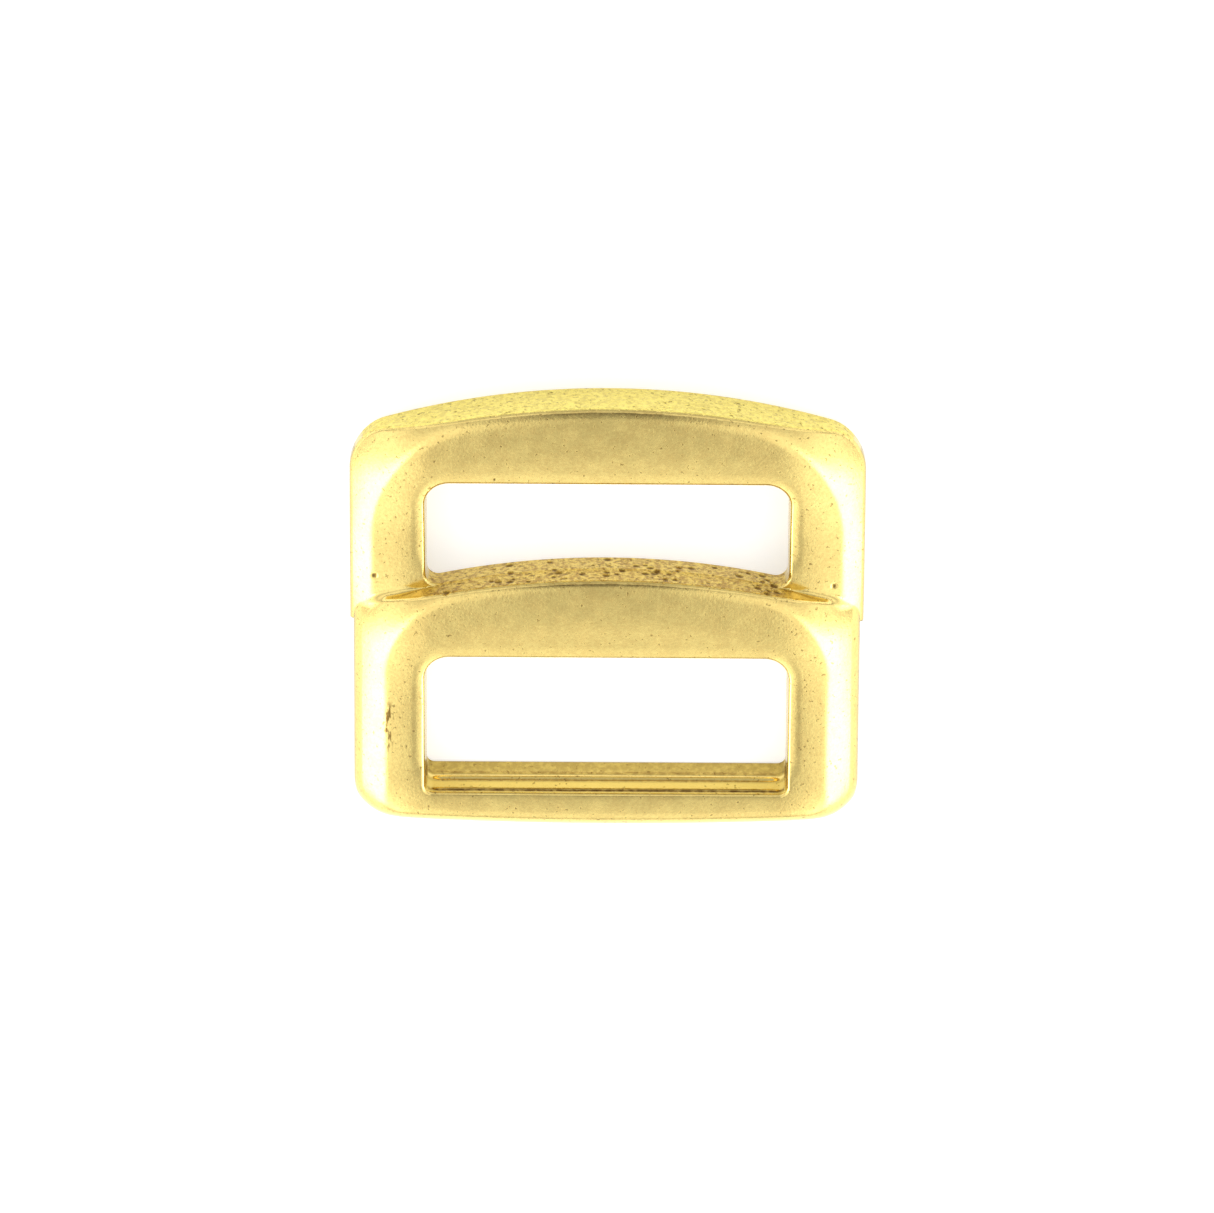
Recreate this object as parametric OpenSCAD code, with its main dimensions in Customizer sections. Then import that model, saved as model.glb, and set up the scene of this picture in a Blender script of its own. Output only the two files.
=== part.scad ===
// Two-slot buckle slider for flat webbing: one brass casting in two overlapping arched tiers.
// It lies on its flat back. +Z comes out of the polished front and +Y points to the arched top.
// The casting has no loose pieces, so its sub-parts are the bars and rails that make up the frame.
// They meet face to face and never overlap.

/* [Strap] */
// width of the strap that the slider takes
strap_w = 25; // [10:0.5:60]
// side play of the strap in a slot, both sides together
strap_play = 1; // [0.4:0.1:3]
// height of the upper slot on the centre line
upper_slot_h = 6.7; // [3:0.1:12]
// height of the lower slot at the back face
lower_slot_h = 9.2; // [3:0.1:15]
// radius in the top corners of both slots
slot_corner_r = 1.8; // [0.5:0.1:3]

/* [Frame outline] */
// breadth of the side rails
rail_w = 5.5; // [3:0.1:10]
// depth of the top bar on the centre line
top_bar_h = 6.2; // [3:0.1:12]
// depth of the centre bar on the centre line
centre_bar_h = 6.5; // [3:0.1:12]
// depth of the bottom bar at the back face
bottom_bar_h = 4.4; // [2:0.1:10]
// plan radius of the arched top edge of each tier
arch_r = 58; // [40:1:120]
// corner radius where an arch meets the sides
shoulder_r = 2.5; // [1:0.1:5]
// plan radius of the slightly bowed bottom edge
foot_arch_r = 300; // [100:10:600]
// radius of the two bottom corners
foot_corner_r = 3; // [1:0.1:5]
// radius of the worn-down front at both shoulders of a tier
shoulder_fall_r = 6; // [3:0.1:12]
// distance from a shoulder's corner, on the diagonal, at which its front starts to fall
shoulder_fall_run = 4.8; // [2:0.1:8]

/* [Upper tier front] */
// thickness at the crown of the top edge
upper_crown = 5.0; // [3:0.05:8]
// fall of the front face for each mm down from the top edge
upper_fall = 0.18; // [0:0.01:0.4]
// radius of the front across the width
upper_dome_r = 140; // [60:5:300]
// radius of the rolled outer sides
upper_roll_r = 3.3; // [1:0.1:5]
// backward lean of the rolled sides, in degrees
upper_lean = 3.8; // [0:0.1:8]
// bevel on the crown of the top edge
crown_bevel = 0.3; // [0.1:0.05:0.8]

/* [Lower tier front] */
// thickness at the crown of the centre bar's edge
lower_crown = 4.9; // [3:0.05:8]
// fall of the front face for each mm down from that edge
lower_fall = 0.26; // [0:0.01:0.4]
// thickness of the level part of the lower frame
lower_level = 3.2; // [2:0.05:6]
// radius of the front across the width
lower_dome_r = 200; // [60:5:300]
// radius of the rolled outer sides
lower_roll_r = 5; // [1:0.1:6]
// radius of the rolled bottom edge
foot_roll_r = 1.8; // [0.5:0.1:3]
// run of the bottom bar's sloping inner wall, from the back face to the front
inner_wall_run = 1.5; // [0:0.05:3]

/* [Output] */
// which sub-part to show

/* [Hidden] */
$fn = 360;
slot_half = (strap_w + strap_play) / 2;
half_w = slot_half + rail_w;
body_h = top_bar_h + upper_slot_h + centre_bar_h + lower_slot_h + bottom_bar_h;
top_y = body_h / 2;
upper_slot_y = top_y - top_bar_h;
step_y = upper_slot_y - upper_slot_h;
lower_slot_y = step_y - centre_bar_h;
bottom_bar_y = lower_slot_y - lower_slot_h;
foot_y = -body_h / 2;
// the upper face starts a little under its crown, so the rolled sides take over towards the ends
upper_start = upper_crown - 0.1;
// the lower face starts above its crown, so the crest lies in from the edge
lower_start = lower_crown + 0.6;
level_run = (lower_start - lower_level) / lower_fall;
// how far cutting shapes run past the frame
past = 2;
// how far each rolled side runs past the flat side, so that the two meet on a clean edge
lap = 0.05;
// how far the shoulders' fall starts below the crown, where the dome has already dropped
shoulder_sink = 0.5;
brass = [0.83, 0.72, 0.42];
cast_brass = [0.72, 0.58, 0.30];

// Height of a shoulder's centre above the arch's own centre, for shoulders that the arch runs into.
function shoulder_rise(half, arch, corner) = sqrt(pow(arch - corner, 2) - pow(half - corner, 2));

// Flat shape under a shallow arch with rounded shoulders, straight sides and a straight foot.
module arch_shape(half, arch, corner, crown, foot) {
    centre = crown - arch;
    reach = arch - corner;
    corner_x = half - corner;
    rise = shoulder_rise(half, arch, corner);
    corner_y = centre + rise;
    out = (corner + past) / reach;
    difference() {
        intersection() {
            translate([0, centre])
                circle(r = arch);
            translate([-half, foot])
                square([2 * half, crown - foot + past]);
        }
        for (side = [-1, 1])
            difference() {
                polygon([
                    [side * corner_x, corner_y],
                    [side * (half + past), corner_y],
                    [side * (half + past), crown + past],
                    [side * corner_x * (1 + out), corner_y + rise * out],
                ]);
                translate([side * corner_x, corner_y])
                    circle(r = corner);
            }
    }
}

// Outline of the upper tier, carried down to the foot.
module upper_plan() {
    arch_shape(half_w, arch_r, shoulder_r, top_y, foot_y);
}

// Disc whose rim is the arched step, where the lower tier rises from the upper one.
module step_disc() {
    translate([0, step_y - arch_r])
        circle(r = arch_r);
}

// Outline of the lower tier, with its bowed foot and rounded bottom corners.
module lower_plan() {
    intersection() {
        step_disc();
        rotate(180)
            arch_shape(half_w, foot_arch_r, foot_corner_r, -foot_y, -step_y - past);
    }
}

// A strap slot with its two top corners rounded.
module slot_plan(slot_top, slot_foot) {
    corner_x = slot_half - slot_corner_r;
    translate([-slot_half, slot_foot])
        square([2 * slot_half, slot_top - slot_corner_r - slot_foot]);
    translate([-corner_x, slot_foot])
        square([2 * corner_x, slot_top - slot_foot]);
    for (side = [-1, 1])
        translate([side * corner_x, slot_top - slot_corner_r])
            circle(r = slot_corner_r);
}

// Part of the plan between two heights, on one side or across the full width.
module band(y_low, y_high, x_low = -half_w - past, x_high = half_w + past) {
    translate([x_low, y_low])
        square([x_high - x_low, y_high - y_low]);
}

// What lies outside a tier's front across the width: a shallow dome that rolls down at both sides.
module outside_dome(crown, dome, roll) {
    low = crown - dome + shoulder_rise(half_w + lap, dome, roll);
    rotate([90, 0, 0])
        linear_extrude(height = 2 * body_h, center = true)
            difference() {
                translate([-half_w - past, low])
                    square([2 * (half_w + past), crown + past - low]);
                arch_shape(half_w + lap, dome, roll, crown, low - past);
            }
}

// What lies outside the fronts of a tier's two shoulders, which fall away towards the corners.
module outside_shoulders(crown, edge_y) {
    corner_s = (half_w + edge_y) / sqrt(2);
    start_s = corner_s - shoulder_fall_run;
    top_z = crown - shoulder_sink;
    for (side = [-1, 1])
        rotate([90, 0, 90 - side * 45])
            linear_extrude(height = 60, center = true)
                difference() {
                    translate([start_s, top_z - shoulder_fall_r])
                        square([shoulder_fall_r + past, shoulder_fall_r + past]);
                    translate([start_s, top_z - shoulder_fall_r])
                        circle(r = shoulder_fall_r);
                }
}

// A profile in the Y-Z plane carried across the full width.
module across() {
    rotate([90, 0, 90])
        linear_extrude(height = 2 * (half_w + past), center = true)
            children();
}

// What lies in front of the sloping face of the upper tier.
module above_upper_face() {
    y_high = top_y + 2 * past;
    y_low = lower_slot_y - past;
    across()
        polygon([
            [y_high, upper_start + 2 * past * upper_fall],
            [y_low, upper_start - (top_y - y_low) * upper_fall],
            [y_low, upper_crown + past],
            [y_high, upper_crown + past],
        ]);
}

// What lies in front of the lower tier's face, which slopes and then runs level.
module above_lower_face() {
    y_high = step_y + 2 * past;
    y_low = foot_y - 2 * past;
    across()
        polygon([
            [y_high, lower_start + 2 * past * lower_fall],
            [step_y - level_run, lower_level],
            [y_low, lower_level],
            [y_low, upper_crown + past],
            [y_high, upper_crown + past],
        ]);
}

// What lies outside the rolled bottom edge.
module outside_foot_roll() {
    roll_y = foot_y + foot_roll_r;
    roll_z = lower_level - foot_roll_r;
    across()
        difference() {
            translate([foot_y - past, roll_z])
                square([foot_roll_r + past, foot_roll_r + past]);
            translate([roll_y, roll_z])
                circle(r = foot_roll_r);
        }
}

// Conical bevel that follows the arched top edge and fades out as the edge falls away.
module edge_bevel() {
    translate([0, top_y - arch_r, 0])
        rotate_extrude()
            polygon([
                [arch_r - crown_bevel, upper_start],
                [arch_r + past, upper_start - crown_bevel - past],
                [arch_r + past, upper_start + past],
                [arch_r - crown_bevel, upper_start + past],
            ]);
}

// A stretch of the upper tier, from the outline in its child.
module upper_piece() {
    difference() {
        linear_extrude(height = upper_crown)
            intersection() {
                upper_plan();
                children();
            }
        translate([0, top_y, 0])
            rotate([upper_lean, 0, 0])
                outside_dome(upper_crown, upper_dome_r, upper_roll_r);
        outside_shoulders(upper_crown, top_y);
        above_upper_face();
        edge_bevel();
    }
}

// A stretch of the lower tier, from the outline in its child.
module lower_piece() {
    difference() {
        linear_extrude(height = upper_crown)
            intersection() {
                lower_plan();
                children();
            }
        outside_dome(lower_crown, lower_dome_r, lower_roll_r);
        outside_shoulders(lower_crown, step_y);
        above_lower_face();
        outside_foot_roll();
    }
}

// The arched bar across the top, with the rounded corners of the upper slot.
module top_bar() {
    color(brass)
        upper_piece()
            difference() {
                band(upper_slot_y - slot_corner_r, top_y + past);
                slot_plan(upper_slot_y, step_y - past);
            }
}

// One side of the upper slot, down to the step of the lower tier.
module upper_rail(side) {
    x_low = side < 0 ? -half_w - past : slot_half;
    x_high = side < 0 ? -slot_half : half_w + past;
    color(brass)
        upper_piece()
            difference() {
                band(lower_slot_y, upper_slot_y - slot_corner_r, x_low, x_high);
                step_disc();
            }
}

// The bar that the strap wraps, with the raised arched step along its upper edge.
module centre_bar() {
    color(brass)
        lower_piece()
            difference() {
                band(lower_slot_y - slot_corner_r, step_y + past);
                slot_plan(lower_slot_y, bottom_bar_y);
            }
}

// One side of the lower slot.
module lower_rail(side) {
    x_low = side < 0 ? -half_w - past : slot_half;
    x_high = side < 0 ? -slot_half : half_w + past;
    color(brass)
        lower_piece()
            band(bottom_bar_y, lower_slot_y - slot_corner_r, x_low, x_high);
}

// The bar across the bottom, with the sloping inner wall left by trimming the casting.
module bottom_bar() {
    color(cast_brass)
        difference() {
            lower_piece()
                band(foot_y - past, bottom_bar_y);
            rotate([90, 0, 90])
                linear_extrude(height = 2 * slot_half, center = true)
                    polygon([
                        [bottom_bar_y, 0],
                        [bottom_bar_y - inner_wall_run * 2, lower_level * 2],
                        [bottom_bar_y + past, lower_level * 2],
                        [bottom_bar_y + past, 0],
                    ]);
        }
}

top_bar();
upper_rail(-1);  // upper_left_rail
upper_rail(1);  // upper_right_rail
centre_bar();
lower_rail(-1);  // lower_left_rail
lower_rail(1);  // lower_right_rail
bottom_bar();
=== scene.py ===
"""Two-slot brass buckle slider: one casting with two overlapping arched tiers, lying on its back.

The casting's surface is written as signed distances in millimetres, negative inside the metal.
It is meshed once, moved onto the exact surface and given the exact normals. Only make_mesh
turns millimetres into metres.
"""
import math

import bpy
import numpy as np
from mathutils import Matrix, Vector


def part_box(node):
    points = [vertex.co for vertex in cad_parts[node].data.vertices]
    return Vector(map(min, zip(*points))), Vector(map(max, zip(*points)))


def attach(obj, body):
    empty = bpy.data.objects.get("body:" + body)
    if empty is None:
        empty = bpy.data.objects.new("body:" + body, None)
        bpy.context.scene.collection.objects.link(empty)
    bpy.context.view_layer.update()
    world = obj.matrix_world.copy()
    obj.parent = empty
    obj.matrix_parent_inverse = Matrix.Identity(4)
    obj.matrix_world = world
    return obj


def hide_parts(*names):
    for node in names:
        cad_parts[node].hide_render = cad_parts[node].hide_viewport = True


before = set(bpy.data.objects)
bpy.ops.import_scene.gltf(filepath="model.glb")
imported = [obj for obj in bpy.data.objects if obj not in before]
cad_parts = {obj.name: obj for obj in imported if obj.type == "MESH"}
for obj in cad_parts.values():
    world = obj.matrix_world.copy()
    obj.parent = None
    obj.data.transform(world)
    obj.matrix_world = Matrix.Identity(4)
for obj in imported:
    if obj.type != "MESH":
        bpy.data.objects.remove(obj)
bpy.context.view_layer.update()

MM = 0.001


# ---------------------------------------------------------------- sizes from the frame, in mm
def box_mm(node):
    """The low and high corners of a node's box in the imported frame."""
    low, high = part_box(node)
    return np.array(low) / MM, np.array(high) / MM


top_low, top_high = box_mm("top_bar")
centre_low, centre_high = box_mm("centre_bar")
foot_low, foot_high = box_mm("bottom_bar")

# radii and the sill's slope don't show in a box, so these repeat the CAD's own values
SLOT_CORNER = 1.8
SILL_RUN = 1.5
SHOULDER = 2.5
ARCH = 58.0
FOOT_ARCH = 300.0
FOOT_CORNER = 3.0

HALF = top_high[0]
SLOT_HALF = -box_mm("upper_left_rail")[1][0]
TOP_Y = top_high[1]
UPPER_SLOT_Y = top_low[1] + SLOT_CORNER
STEP_Y = centre_high[1]
LOWER_SLOT_Y = centre_low[1] + SLOT_CORNER
SILL_Y = box_mm("lower_left_rail")[0][1]
FOOT_Y = foot_low[1]
LEVEL = foot_high[2]
CROWN = centre_high[2]

# ---------------------------------------------------------------- camera
TILT = math.radians(20)
ROLL = math.radians(0.35)
DISTANCE = 0.70
SENSOR = 36
# the slots' width as a share of the picture's width
SLOT_SHARE = 0.297776
VIEW_WIDTH = 2 * SLOT_HALF / SLOT_SHARE * MM
AIM = Vector((0, 0.53 * MM, 2.0 * MM))

camera_data = bpy.data.cameras.new("camera")
camera_data.sensor_width = SENSOR
camera_data.lens = SENSOR / (VIEW_WIDTH / DISTANCE)
camera_data.clip_start = 0.01
camera = bpy.data.objects.new("camera", camera_data)
bpy.context.scene.collection.objects.link(camera)
toward = Vector((0, math.sin(TILT), math.cos(TILT)))
turn = Matrix.Rotation(-TILT, 4, "X") @ Matrix.Rotation(ROLL, 4, "Z")
camera.matrix_world = Matrix.Translation(AIM + toward * DISTANCE) @ turn
bpy.context.scene.camera = camera


# ---------------------------------------------------------------- distance helpers
def round_max(a, b, r):
    """Where two regions overlap, with their shared edge rounded to radius r."""
    corner = np.hypot(np.maximum(a + r, 0), np.maximum(b + r, 0))
    return np.minimum(np.maximum(a, b), -r) + corner


def round_min(a, b, r):
    """Two regions joined, with a fillet of radius r between them."""
    return -round_max(-a, -b, r)


def soft_max(a, b, k):
    """The larger of two values, with the crease spread over k."""
    h = np.maximum(k - np.abs(a - b), 0) / k
    return np.maximum(a, b) + h * h * k / 4


def soft_min(a, b, k):
    """The smaller of two values, with the crease spread over k."""
    return -soft_max(-a, -b, k)


def ease(low, high, v):
    """A smooth step from 0 at low to 1 at high, which may be the lower of the two."""
    t = np.clip((v - low) / (high - low), 0, 1)
    return t * t * (3 - 2 * t)


def bell(v, middle, width):
    """A smooth peak of height 1."""
    return np.exp(-((v - middle) / width) ** 2)


# ---------------------------------------------------------------- the casting
# lean of the walls, as a slope; a slot's sides open from the mould's parting line upwards
PARTING_Z = 1.3
SLOT_SIDE_DRAFT, SLOT_TOP_DRAFT = 0.06, 0.02
WALL_DRAFT = 0.035
STEP_DRAFT = 0.01

# radii of the edges
EDGE = 0.22
SLOT_EDGE = 0.22
SIDE_EDGE = 0.5
FOOT_EDGE = 0.9
BACK_EDGE = 0.2
SILL_CORNER = 0.6
STEP_CORNER = 1.1
FILLET, RAIL_FILLET = 0.04, 0.5

# the fronts: a dome across the width and a straight fall from the arched edge, with a soft crease
DOME = 200.0
DOME_CREASE = 0.5
UPPER_RISE, UPPER_LEAN = 0.1, 0.052
UPPER_START, UPPER_FALL = CROWN, 0.18
UPPER_BOW = 0.20
LOWER_START, LOWER_FALL = CROWN + 0.60, 0.26
LEVEL_CREASE = 0.8
CAMBER = 0.015
LIP_WIDTH, LIP_DROP = 1.1, 0.14
TOE_RUN, TOE_DROP = 3.8, 0.75

# where a front starts to wear away, as how far in from the arched edge and from the side, and
# the radius of the corner between the two
UPPER_WORN = (1.25, 1.9, 6.2)
LOWER_WORN = (0.9, 2.95, 4.5)
WORN_STEEP = 0.80
WORN_SOFT = 1.4
# the lower tier wears along its foot too, past a line that far outside it
FOOT_WORN, FOOT_WORN_CORNER = 1.5, 4

# how far the upper tier runs on under the lower one, and stands clear of the step in the slot
UNDERLAP = 1.5
STEP_GAP = 0.02

# the trimmed parting line on the sill: heights of its ridge and of the grooves beside it
SEAM_RIDGE = 1.49
SEAM_GROOVES = (1.15, 1.80, 2.70, 3.30)


def arch_wall(x, y, crown):
    """Distance beyond the arched wall whose crown is at that y."""
    return np.hypot(x, y - (crown - ARCH)) - ARCH


def foot_wall(x, y):
    """Distance beyond the slightly bowed bottom edge."""
    return np.hypot(x, y - (FOOT_Y + FOOT_ARCH)) - FOOT_ARCH


def worn(wall, side, reach):
    """How far the polished front has dropped towards the arch and the side, and how steeply."""
    n = np.maximum(round_max(wall + reach[0], side + reach[1], reach[2]), 0)
    far = np.hypot(n, WORN_SOFT)
    return WORN_STEEP * (far - WORN_SOFT), WORN_STEEP * n / far


def rail_camber(x):
    """The rails' faces bow away from the slots."""
    return CAMBER * np.maximum(np.abs(x) - SLOT_HALF + 0.5, 0) ** 2


def slot_lip(x, y, slot_y, foot_y):
    """The front's soft fall towards the edge of a slot, fading out towards its foot."""
    q = round_max(np.abs(x) - SLOT_HALF, y - slot_y, SLOT_CORNER) / LIP_WIDTH
    return LIP_DROP * np.clip(1 - q, 0, 1) ** 2 * ease(foot_y - 0.5, foot_y + 1.5, y)


def bar_bow(down, height, bow):
    """A bar's face bows out a little between its crest and the slot."""
    return bow * np.sin(math.pi * np.maximum(down, 0) / height)


def slot_field(x, y, z, slot_y):
    """Distance outside a slot that is open at its foot, with drafted sides."""
    lean = np.maximum(z - PARTING_Z, 0)
    side = np.abs(x) - SLOT_HALF - SLOT_SIDE_DRAFT * lean
    return round_max(side, y - slot_y - SLOT_TOP_DRAFT * lean, SLOT_CORNER)


def upper_tier(x, y, z):
    side = np.abs(x) - HALF
    down = TOP_Y - y
    wall = arch_wall(x, y, TOP_Y) + WALL_DRAFT * np.maximum(z, 0)
    drop, slope = worn(wall, side, UPPER_WORN)
    dome = CROWN + UPPER_RISE - x * x / (2 * DOME) - UPPER_LEAN * down
    face = UPPER_START - UPPER_FALL * down + bar_bow(down, TOP_Y - UPPER_SLOT_Y, UPPER_BOW)
    height = soft_min(dome, face, DOME_CREASE) - rail_camber(x) - drop
    height = height - slot_lip(x, y, UPPER_SLOT_Y, STEP_Y)
    front = (z - height) / np.sqrt(1 + slope * slope)
    body = round_max(front, round_max(wall, side, SHOULDER), EDGE)
    step = arch_wall(x, y, STEP_Y) + STEP_DRAFT * np.maximum(z, 0)
    slot = round_max(slot_field(x, y, z, UPPER_SLOT_Y), STEP_GAP - step, STEP_CORNER)
    body = round_max(body, -slot, SLOT_EDGE)
    return np.maximum(body, -UNDERLAP - arch_wall(x, y, STEP_Y))


def sill(x, z):
    """Where the lower slot's sloping bottom wall is at height z, with the parting line's marks."""
    ridge = 0.07 * bell(z, SEAM_RIDGE, 0.13)
    groove = 0.02 * bell(z, SEAM_GROOVES[0], 0.13) + 0.05 * bell(z, SEAM_GROOVES[1], 0.11)
    upper_groove = 0.06 * bell(z, SEAM_GROOVES[2], 0.10)
    trim = ease(SLOT_HALF - 0.1, SLOT_HALF - 1.1, np.abs(x))
    return SILL_Y - SILL_RUN * z / LEVEL + (ridge - groove - upper_groove) * trim


def lower_tier(x, y, z):
    side = np.abs(x) - HALF
    down = STEP_Y - y
    wall = arch_wall(x, y, STEP_Y) + WALL_DRAFT * np.maximum(z, 0)
    foot = foot_wall(x, y)
    outside = round_max(side, foot - FOOT_WORN, FOOT_WORN_CORNER)
    drop, slope = worn(wall, outside, LOWER_WORN)
    dome = CROWN - x * x / (2 * DOME)
    face = soft_max(LOWER_START - LOWER_FALL * down, LEVEL, LEVEL_CREASE)
    toe = TOE_DROP * np.maximum(1 + foot / TOE_RUN, 0) ** 2
    height = soft_min(dome, face, DOME_CREASE) - rail_camber(x) - drop
    height = height - slot_lip(x, y, LOWER_SLOT_Y, SILL_Y) - toe
    front = (z - height) / np.sqrt(1 + slope * slope)
    body = round_max(front, wall, EDGE)
    body = round_max(body, side, SIDE_EDGE)
    body = round_max(body, round_max(foot, side, FOOT_CORNER), FOOT_EDGE)
    slot = round_max(slot_field(x, y, z, LOWER_SLOT_Y), sill(x, z) - y, SILL_CORNER)
    return round_max(body, -slot, SLOT_EDGE)


def casting(x, y, z):
    """The whole casting, where the two tiers meet in a fillet that is wider on the rails."""
    across = np.abs(x)
    on_rail = ease(SLOT_HALF, SLOT_HALF + 2.0, across) * ease(HALF - 0.4, HALF - 2.0, across)
    body = round_min(upper_tier(x, y, z), lower_tier(x, y, z), FILLET + RAIL_FILLET * on_rail)
    return round_max(body, -z, BACK_EDGE)


# ---------------------------------------------------------------- casting pits
def scatter(seed, count, x_reach, z_range, crown, sizes):
    """Pits on an arched wall, as rows of x, y, z, radius and depth in mm."""
    dice = np.random.default_rng(seed)
    x = dice.uniform(-x_reach, x_reach, count)
    z = dice.uniform(*z_range, count)
    radius = dice.uniform(0, 1, count) ** 2 * (sizes[1] - sizes[0]) + sizes[0]
    y = crown - ARCH + np.sqrt(ARCH * ARCH - x * x) - WALL_DRAFT * z
    return np.stack([x, y, z, radius, radius * dice.uniform(0.3, 0.6, count)], 1)


PITS = np.concatenate([
    scatter(4, 90, 12.6, (0.5, 4.2), STEP_Y, (0.13, 0.42)),
    scatter(9, 70, 16.5, (0.5, 4.3), TOP_Y, (0.09, 0.19)),
    # the few larger marks on the polished front
    [[-12.75, 9.9, 3.72, 0.24, 0.10],
     [-12.6, 8.6, 3.60, 0.16, 0.08],
     [-16.7, 2.9, 2.35, 0.30, 0.09],
     [16.3, 2.3, 2.30, 0.28, 0.10],
     [-8.1, 10.8, 3.85, 0.14, 0.05],
     [-13.6, 6.0, 3.0, 0.14, 0.05]],
])


def pit_depth(x, y, z):
    """How deep the pits cut at each point, and how dark they are."""
    depth = np.zeros(np.shape(x))
    dark = np.zeros(np.shape(x))
    for cx, cy, cz, radius, deep in PITS:
        reached = (np.abs(x - cx) < radius) & (np.abs(z - cz) < radius) & (np.abs(y - cy) < radius)
        near = np.flatnonzero(reached)
        if len(near) == 0:
            continue
        square = ((x[near] - cx) ** 2 + (y[near] - cy) ** 2 + (z[near] - cz) ** 2) / radius ** 2
        bowl = np.maximum(1 - square, 0)
        depth[near] += deep * bowl ** 2
        dark[near] = np.maximum(dark[near], bowl)
    return depth, dark


def pitted(x, y, z):
    return casting(x, y, z) + pit_depth(x, y, z)[0]


# ---------------------------------------------------------------- meshing
CORNERS = [(i, j, k) for i in (0, 1) for j in (0, 1) for k in (0, 1)]
GRID_MARGIN = 0.45
GRID = ((0.14, 0.12, 0.10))


def grid_axes(step):
    """The grid's x, y and z values, which reach past the casting on every side."""
    low = np.array([-HALF, FOOT_Y, 0]) - GRID_MARGIN
    high = np.array([HALF, TOP_Y, CROWN + UPPER_RISE]) + GRID_MARGIN
    return [np.arange(a, b + s, s) for a, b, s in zip(low, high, step)]


def mean_crossing(values, cells):
    """The mean of the points where the surface crosses a cell's edges, from its low corner."""
    total = np.zeros((len(cells), 3))
    hits = np.zeros(len(cells))
    for a in CORNERS:
        for axis in range(3):
            if a[axis]:
                continue
            b = tuple(a[n] + (n == axis) for n in range(3))
            va = values[tuple((cells + a).T)]
            vb = values[tuple((cells + b).T)]
            cross = (va < 0) != (vb < 0)
            point = np.array(a, float)[None, :].repeat(len(cells), 0)
            point[:, axis] += np.where(cross, va / np.where(cross, va - vb, 1), 0)
            total += point * cross[:, None]
            hits += cross
    return total / hits[:, None]


def net_quads(inside, number):
    """For each grid edge that the surface crosses, a quad through the four cells round it."""
    quads = []
    for axis in range(3):
        u, v = (axis + 1) % 3, (axis + 2) % 3
        near = [slice(None)] * 3
        far = [slice(None)] * 3
        near[axis], far[axis] = slice(0, -1), slice(1, None)
        edges = np.argwhere(inside[tuple(near)] != inside[tuple(far)])
        edges = edges[(edges[:, u] > 0) & (edges[:, v] > 0)]
        edges = edges[(edges[:, u] < number.shape[u]) & (edges[:, v] < number.shape[v])]
        ring = []
        for du, dv in ((-1, -1), (0, -1), (0, 0), (-1, 0)):
            cell = edges.copy()
            cell[:, u] += du
            cell[:, v] += dv
            ring.append(number[tuple(cell.T)])
        ring = np.stack(ring, 1)
        metal_first = inside[tuple(edges.T)]
        ring[~metal_first] = ring[~metal_first][:, ::-1]
        quads.append(ring)
    return np.concatenate(quads)


def surface_net(field, axes):
    """Vertices and quads of the zero surface of a field on a grid, by naive surface nets."""
    xs, ys, zs = axes
    values = field(xs[:, None, None], ys[None, :, None], zs[None, None, :])
    inside = values < 0
    shape = np.array(values.shape) - 1
    count = np.zeros(shape, np.int16)
    for i, j, k in CORNERS:
        count += inside[i:shape[0] + i, j:shape[1] + j, k:shape[2] + k]
    cells = np.argwhere((count > 0) & (count < len(CORNERS)))
    number = -np.ones(shape, np.int64)
    number[tuple(cells.T)] = np.arange(len(cells))
    start = np.array([axis[0] for axis in axes])
    steps = np.array([axis[1] - axis[0] for axis in axes])
    points = start + (cells + mean_crossing(values, cells)) * steps
    return points, net_quads(inside, number)


def slope_of(field, points, h=0.01):
    """The field's gradient at each point."""
    grad = np.empty_like(points)
    for axis in range(3):
        shift = np.zeros(3)
        shift[axis] = h
        grad[:, axis] = (field(*(points + shift).T) - field(*(points - shift).T)) / (2 * h)
    return grad


def settle(field, points, rounds=4, least_square=0.05, longest=0.08):
    """Moves points onto the exact surface, by short steps where the gradient is weak."""
    for _ in range(rounds):
        grad = slope_of(field, points)
        square = np.maximum((grad * grad).sum(1), least_square)
        step = (field(*points.T) / square)[:, None] * grad
        points = points - np.clip(step, -longest, longest)
    return points


def make_mesh(name, points, quads, normals, attributes):
    """A smooth mesh with its own normals and one number per vertex for each attribute."""
    mesh = bpy.data.meshes.new(name)
    mesh.vertices.add(len(points))
    mesh.vertices.foreach_set("co", (points * MM).astype(np.float32).ravel())
    mesh.loops.add(quads.size)
    mesh.loops.foreach_set("vertex_index", quads.astype(np.int32).ravel())
    mesh.polygons.add(len(quads))
    mesh.polygons.foreach_set("loop_start", np.arange(0, quads.size, 4, dtype=np.int32))
    mesh.update(calc_edges=True)
    mesh.validate()
    mesh.polygons.foreach_set("use_smooth", np.ones(len(mesh.polygons), bool))
    for key, values in attributes.items():
        layer = mesh.attributes.new(key, "FLOAT", "POINT")
        layer.data.foreach_set("value", values.astype(np.float32))
    mesh.normals_split_custom_set_from_vertices(normals.tolist())
    piece = bpy.data.objects.new(name, mesh)
    bpy.context.scene.collection.objects.link(piece)
    return piece


# ---------------------------------------------------------------- kinds of surface
# how dark each of the sill's grooves is painted, and the band under its ridge
GROOVE_DARK = (0.25, 0.55, 1.15, 0.45)
UNDER_RIDGE_DARK = 0.50
# how strongly the steep outer walls take painted shade
RIM_SHADE_SHARE = 0.9


def crown_line(x, y, crown, inset, reach):
    """The thin dark line of painted shade just in from a crown's edge, fading out towards the
    sides.
    """
    return bell(arch_wall(x, y, crown), -inset, 0.11) * ease(reach, 3.0, np.abs(x))


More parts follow.
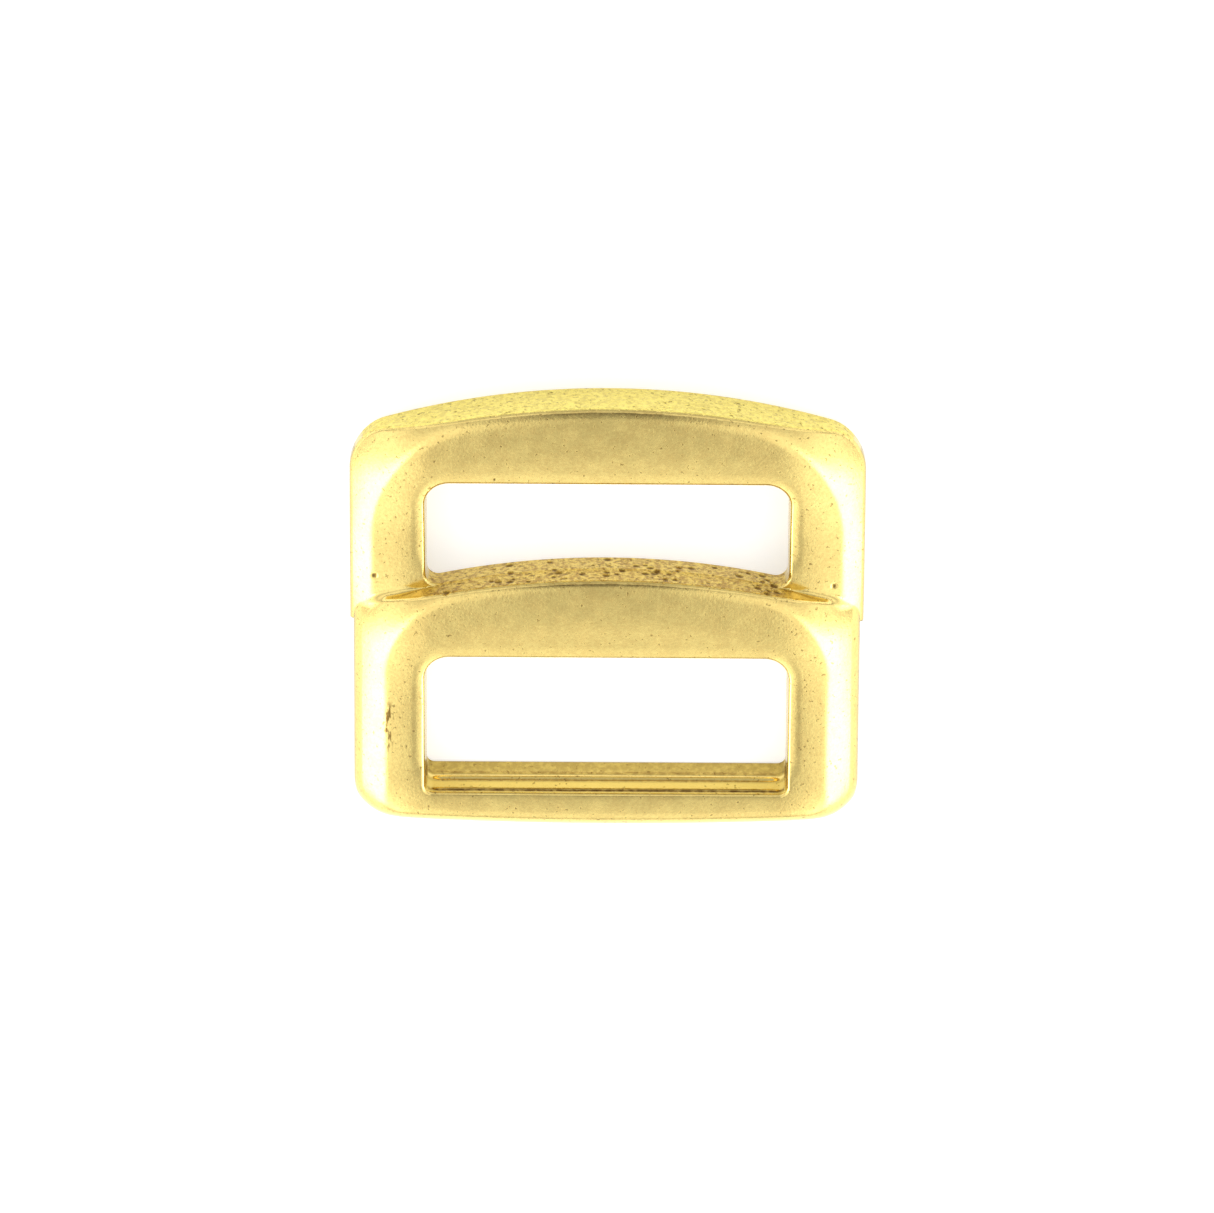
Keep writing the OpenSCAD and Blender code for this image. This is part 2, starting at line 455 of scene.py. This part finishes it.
def surface_kinds(points, normals):
    """For each point, how much of each kind of finish, mark or painted shade it has."""
    x, y, z = points.T
    across = np.abs(x)
    # the polishing wheel reached what faces up; the upright walls stayed as cast
    facing_up = slope_of(casting, points)[:, 2]
    upright = ease(0.80, 0.35, facing_up)
    faces_arch = normals[:, 1] > 0
    on_top_wall = (arch_wall(x, y, TOP_Y) > -0.6) & faces_arch
    on_step_wall = (np.abs(arch_wall(x, y, STEP_Y)) < 0.45) & faces_arch
    between = (y < UPPER_SLOT_Y + 1) & (y > SILL_Y - 2)
    in_slot = (across < SLOT_HALF + 0.5) & ~on_step_wall & between
    outer_wall = (across > HALF - 0.4) | (foot_wall(x, y) > -0.5)
    on_sill = (across < SLOT_HALF - 0.1) & (np.abs(y - SILL_Y + SILL_RUN * z / LEVEL) < 0.35)
    painted_dark_lines = UNDER_RIDGE_DARK * ease(SEAM_RIDGE - 0.05, SEAM_RIDGE - 0.25, z)
    for seam_z, dark in zip(SEAM_GROOVES, GROOVE_DARK):
        painted_dark_lines = painted_dark_lines + dark * bell(z, seam_z, 0.13)
    # painted shade: thin dark lines just in from the edges of the two crowns
    lines = (0.55 * crown_line(x, y, TOP_Y, 0.42, 6.0)
             + 0.75 * crown_line(x, y, STEP_Y, 0.38, 7.5)) * (z > 4)
    return {"cast": upright * on_top_wall,
            # the step wall under the upper tier: its cast skin, painted darker as shade
            "deep": upright * on_step_wall * ease(SLOT_HALF + 0.5, SLOT_HALF, across),
            "inner": upright * in_slot,
            "painted_dark_lines": on_sill * painted_dark_lines + lines,
            # painted shade on the steep outer walls, for the dark outline round the casting
            "rim": RIM_SHADE_SHARE * ease(0.70, 0.35, facing_up) * outer_wall,
            "trim": on_sill * bell(z, SEAM_RIDGE, 0.11),
            "pit": pit_depth(x, y, z)[1]}


points, quads = surface_net(casting, grid_axes(GRID))
points = settle(pitted, points)
normals = slope_of(pitted, points)
normals /= np.linalg.norm(normals, axis=1)[:, None]

slider = make_mesh("slider_casting", points, quads, normals, surface_kinds(points, normals))
NODES = ("top_bar", "upper_left_rail", "upper_right_rail", "centre_bar",
         "lower_left_rail", "lower_right_rail", "bottom_bar")
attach(slider, "root")
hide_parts(*NODES)


# ---------------------------------------------------------------- material
class Nodes:
    """Short calls for building a node tree. A value can be a number, a colour or a socket."""

    def __init__(self, owner):
        self.tree = owner.node_tree
        self.tree.nodes.clear()

    def add(self, kind, **settings):
        node = self.tree.nodes.new(kind)
        for key, value in settings.items():
            setattr(node, key, value)
        return node

    def link(self, source, target):
        self.tree.links.new(source, target)

    def put(self, socket, value):
        if isinstance(value, bpy.types.NodeSocket):
            self.link(value, socket)
        else:
            socket.default_value = value

    def math(self, operation, a, b=0.0):
        node = self.add("ShaderNodeMath", operation=operation)
        self.put(node.inputs[0], a)
        self.put(node.inputs[1], b)
        return node.outputs[0]

    def plus(self, a, b):
        return self.math("ADD", a, b)

    def times(self, a, b):
        return self.math("MULTIPLY", a, b)

    def attribute(self, name):
        return self.add("ShaderNodeAttribute", attribute_name=name).outputs["Fac"]

    def ramp(self, value, low, high, out_low=0.0, out_high=1.0):
        """A smooth step from out_low at low to out_high at high."""
        node = self.add("ShaderNodeMapRange", interpolation_type="SMOOTHSTEP")
        self.put(node.inputs["Value"], value)
        self.put(node.inputs["From Min"], low)
        self.put(node.inputs["From Max"], high)
        self.put(node.inputs["To Min"], out_low)
        self.put(node.inputs["To Max"], out_high)
        return node.outputs["Result"]

    def noise(self, vector, scale, detail, roughness):
        node = self.add("ShaderNodeTexNoise")
        self.link(vector, node.inputs["Vector"])
        node.inputs["Scale"].default_value = scale
        node.inputs["Detail"].default_value = detail
        node.inputs["Roughness"].default_value = roughness
        return node.outputs["Fac"]

    def mapped(self, vector, location, scale):
        node = self.add("ShaderNodeMapping", vector_type="POINT")
        self.link(vector, node.inputs["Vector"])
        node.inputs["Location"].default_value = location
        node.inputs["Scale"].default_value = scale
        return node.outputs["Vector"]

    def scuff(self, place, middle, reach):
        """Short lengthwise nicks gathered inside an ellipsoid."""
        scale = [1 / r for r in reach]
        shift = [-m * k for m, k in zip(middle, scale)]
        length = self.add("ShaderNodeVectorMath", operation="LENGTH")
        self.link(self.mapped(place, shift, scale), length.inputs[0])
        nicks = self.noise(self.mapped(place, (0, 0, 0), (5200, 1100, 1100)), 1.0, 2, 0.6)
        gathered = self.ramp(length.outputs["Value"], 1.0, 0.55)
        return self.times(self.ramp(nicks, 0.50, 0.58), gathered)

    def mix(self, factor, a, b):
        """Colour a where the factor is 0, and b where it is 1."""
        node = self.add("ShaderNodeMix", data_type="RGBA")
        self.put(node.inputs["Factor"], factor)
        self.put(node.inputs[6], a)
        self.put(node.inputs[7], b)
        return node.outputs[2]


BRIGHT = (0.87, 0.68, 0.235, 1)
KHAKI = (0.79, 0.59, 0.20, 1)
SKIN = (0.90, 0.77, 0.195, 1)
SKIN_SHADE = (0.72, 0.59, 0.145, 1)
# the step wall's cast skin; its darker tone is partly painted shade
DEEP_SKIN = (0.84, 0.65, 0.17, 1)
DEEP_SHADE = (0.47, 0.30, 0.07, 1)
INNER_SKIN = (0.64, 0.48, 0.115, 1)
# the colour of the painted shade on the outer walls
RIM_SHADE_COLOUR = (0.46, 0.35, 0.09, 1)
GRIME = (0.17, 0.095, 0.02, 1)

SCUFF_PLACE = (-15.65 * MM, -8.4 * MM, 3.0 * MM)
SCUFF_REACH = (0.42 * MM, 2.3 * MM, 2.0 * MM)


def brass_colour(n, place, marks, pores, specks):
    """Polished brass, the tints of the walls over it, painted shade on the step and outer walls,
    and dirt and painted shade lines on top.
    """
    fine = n.times(n.noise(place, 4200, 3, 0.7), 2.0)
    clouds = n.plus(n.noise(place, 420, 3, 0.5), fine)
    colour = n.mix(n.ramp(clouds, 1.20, 1.80), BRIGHT, KHAKI)
    colour = n.mix(marks["inner"], colour, INNER_SKIN)
    # painted shade on the steep outer walls
    colour = n.mix(marks["rim"], colour, RIM_SHADE_COLOUR)
    mottle = n.ramp(n.noise(place, 2600, 4, 0.7), 0.40, 0.62)
    colour = n.mix(marks["cast"], colour, n.mix(mottle, SKIN, SKIN_SHADE))
    # the step wall's cast skin, partly painted shade
    colour = n.mix(marks["deep"], colour, n.mix(mottle, DEEP_SKIN, DEEP_SHADE))
    patchy = n.ramp(n.noise(place, 2400, 3, 0.6), 0.30, 0.62, 0.45, 1.0)
    # dark bands along the sill's grooves, and the painted shade lines in from the crowns
    colour = n.mix(n.times(marks["painted_dark_lines"], patchy), colour, GRIME)
    colour = n.mix(marks["trim"], colour, BRIGHT)
    pore_dirt = n.plus(n.times(marks["cast"], 0.40), n.times(marks["deep"], 0.65))
    colour = n.mix(n.times(pores, pore_dirt), colour, GRIME)
    colour = n.mix(n.times(specks, 0.6), colour, GRIME)
    colour = n.mix(n.times(n.ramp(marks["pit"], 0.20, 0.8), 0.9), colour, GRIME)
    scuff = n.scuff(place, SCUFF_PLACE, SCUFF_REACH)
    return n.mix(n.times(scuff, 0.9), colour, GRIME)


def brass_relief(n, place, wall, pores, specks):
    """Fine relief in mm: a slow wave in front, and a rough skin with pores on the walls."""
    grain = n.noise(place, 5200, 3, 0.6)
    wave = n.times(n.noise(place, 480, 2, 0.5), 0.012)
    tooth = n.times(grain, n.plus(0.008, n.times(wall, 0.07)))
    hollow = n.times(pores, n.times(wall, -0.07))
    hollow = n.math("SUBTRACT", hollow, n.times(specks, 0.004))
    return n.plus(n.plus(wave, tooth), hollow)


def brass_material():
    material = bpy.data.materials.new("polished_brass")
    material.use_nodes = True
    n = Nodes(material)
    place = n.add("ShaderNodeTexCoord").outputs["Object"]
    kinds = ("cast", "deep", "inner", "painted_dark_lines", "trim", "rim", "pit")
    marks = {kind: n.attribute(kind) for kind in kinds}
    wall = n.plus(marks["cast"], marks["deep"])
    pores = n.ramp(n.noise(place, 2900, 2, 0.5), 0.60, 0.70)
    specks = n.ramp(n.noise(place, 3600, 2, 0.5), 0.64, 0.72)
    shine = n.ramp(n.noise(place, 900, 3, 0.6), 0.3, 0.75, 0.12, 0.20)

    bump = n.add("ShaderNodeBump")
    bump.inputs["Strength"].default_value = 1.0
    bump.inputs["Distance"].default_value = MM
    n.link(brass_relief(n, place, wall, pores, specks), bump.inputs["Height"])

    shader = n.add("ShaderNodeBsdfPrincipled")
    shader.inputs["Metallic"].default_value = 1.0
    n.link(brass_colour(n, place, marks, pores, specks), shader.inputs["Base Color"])
    n.link(n.plus(shine, n.times(wall, 0.26)), shader.inputs["Roughness"])
    n.link(bump.outputs["Normal"], shader.inputs["Normal"])
    output = n.add("ShaderNodeOutputMaterial")
    n.link(shader.outputs["BSDF"], output.inputs["Surface"])
    return material


slider.data.materials.append(brass_material())

# ---------------------------------------------------------------- floor and light
FLOOR_SIZE = 3.0
FLOOR_DROP = 0.00002
FLOOR_GREY = (0.62, 0.62, 0.62, 1)
FLOOR_GLOW = 0.50

# strength of the light from everywhere, and what each part of the tent adds to it
BASE_LIGHT = 0.85
SIDE_LIGHT = 0.97
BOX_LIGHT = 3.4
NEAR_LIGHT = 0.50
FAR_LIGHT = 0.7
# the share that is left below the horizon and where the camera stands
GROUND_SHARE = 0.30
CAMERA_SHARE = 0.55


def make_floor():
    material = bpy.data.materials.new("white_floor")
    material.use_nodes = True
    shader = material.node_tree.nodes["Principled BSDF"]
    shader.inputs["Base Color"].default_value = FLOOR_GREY
    shader.inputs["Roughness"].default_value = 0.9
    shader.inputs["Emission Color"].default_value = (1, 1, 1, 1)
    shader.inputs["Emission Strength"].default_value = FLOOR_GLOW
    mesh = bpy.data.meshes.new("floor")
    c = FLOOR_SIZE / 2
    mesh.from_pydata([(-c, -c, 0), (c, -c, 0), (c, c, 0), (-c, c, 0)], [], [(0, 1, 2, 3)])
    mesh.materials.append(material)
    floor = bpy.data.objects.new("floor", mesh)
    bpy.context.scene.collection.objects.link(floor)
    floor.location.z = -FLOOR_DROP
    return floor


def studio_sky():
    """A light tent: its sides brighten outwards, and it is dimmest behind the camera."""
    world = bpy.data.worlds.new("studio")
    world.use_nodes = True
    n = Nodes(world)
    facing = n.add("ShaderNodeTexCoord").outputs["Generated"]
    split = n.add("ShaderNodeSeparateXYZ")
    n.link(facing, split.inputs[0])
    across = n.math("ABSOLUTE", split.outputs["X"])
    along = split.outputs["Y"]

    side = n.ramp(across, 0.02, 0.20, 0.0, SIDE_LIGHT)
    side = n.times(side, n.ramp(along, 0.55, 0.15, 0.1, 1.0))
    box = n.ramp(across, 0.40, 0.68, 0.0, BOX_LIGHT)
    box = n.times(box, n.ramp(along, 0.15, -0.28, 0.0, 1.0))
    near = n.ramp(along, -0.60, -0.95, 0.0, NEAR_LIGHT)
    far = n.ramp(along, 0.45, 0.60, 0.0, FAR_LIGHT)
    far = n.times(far, n.ramp(along, 0.90, 0.75))
    level = n.plus(n.plus(n.plus(side, BASE_LIGHT), box), n.plus(near, far))
    level = n.times(level, n.ramp(split.outputs["Z"], -0.05, 0.26, GROUND_SHARE, 1.0))

    dot = n.add("ShaderNodeVectorMath", operation="DOT_PRODUCT")
    n.link(facing, dot.inputs[0])
    dot.inputs[1].default_value = toward
    edge, middle = math.cos(math.radians(13)), math.cos(math.radians(6))
    level = n.times(level, n.ramp(dot.outputs["Value"], edge, middle, 1.0, CAMERA_SHARE))
    level = n.times(level, n.ramp(dot.outputs["Value"], 0.42, 0.74, 1.06, 0.86))
    background = n.add("ShaderNodeBackground")
    n.link(level, background.inputs["Strength"])
    output = n.add("ShaderNodeOutputWorld")
    n.link(background.outputs[0], output.inputs["Surface"])
    return world


make_floor()
bpy.context.scene.world = studio_sky()
bpy.context.scene.view_settings.view_transform = "Standard"
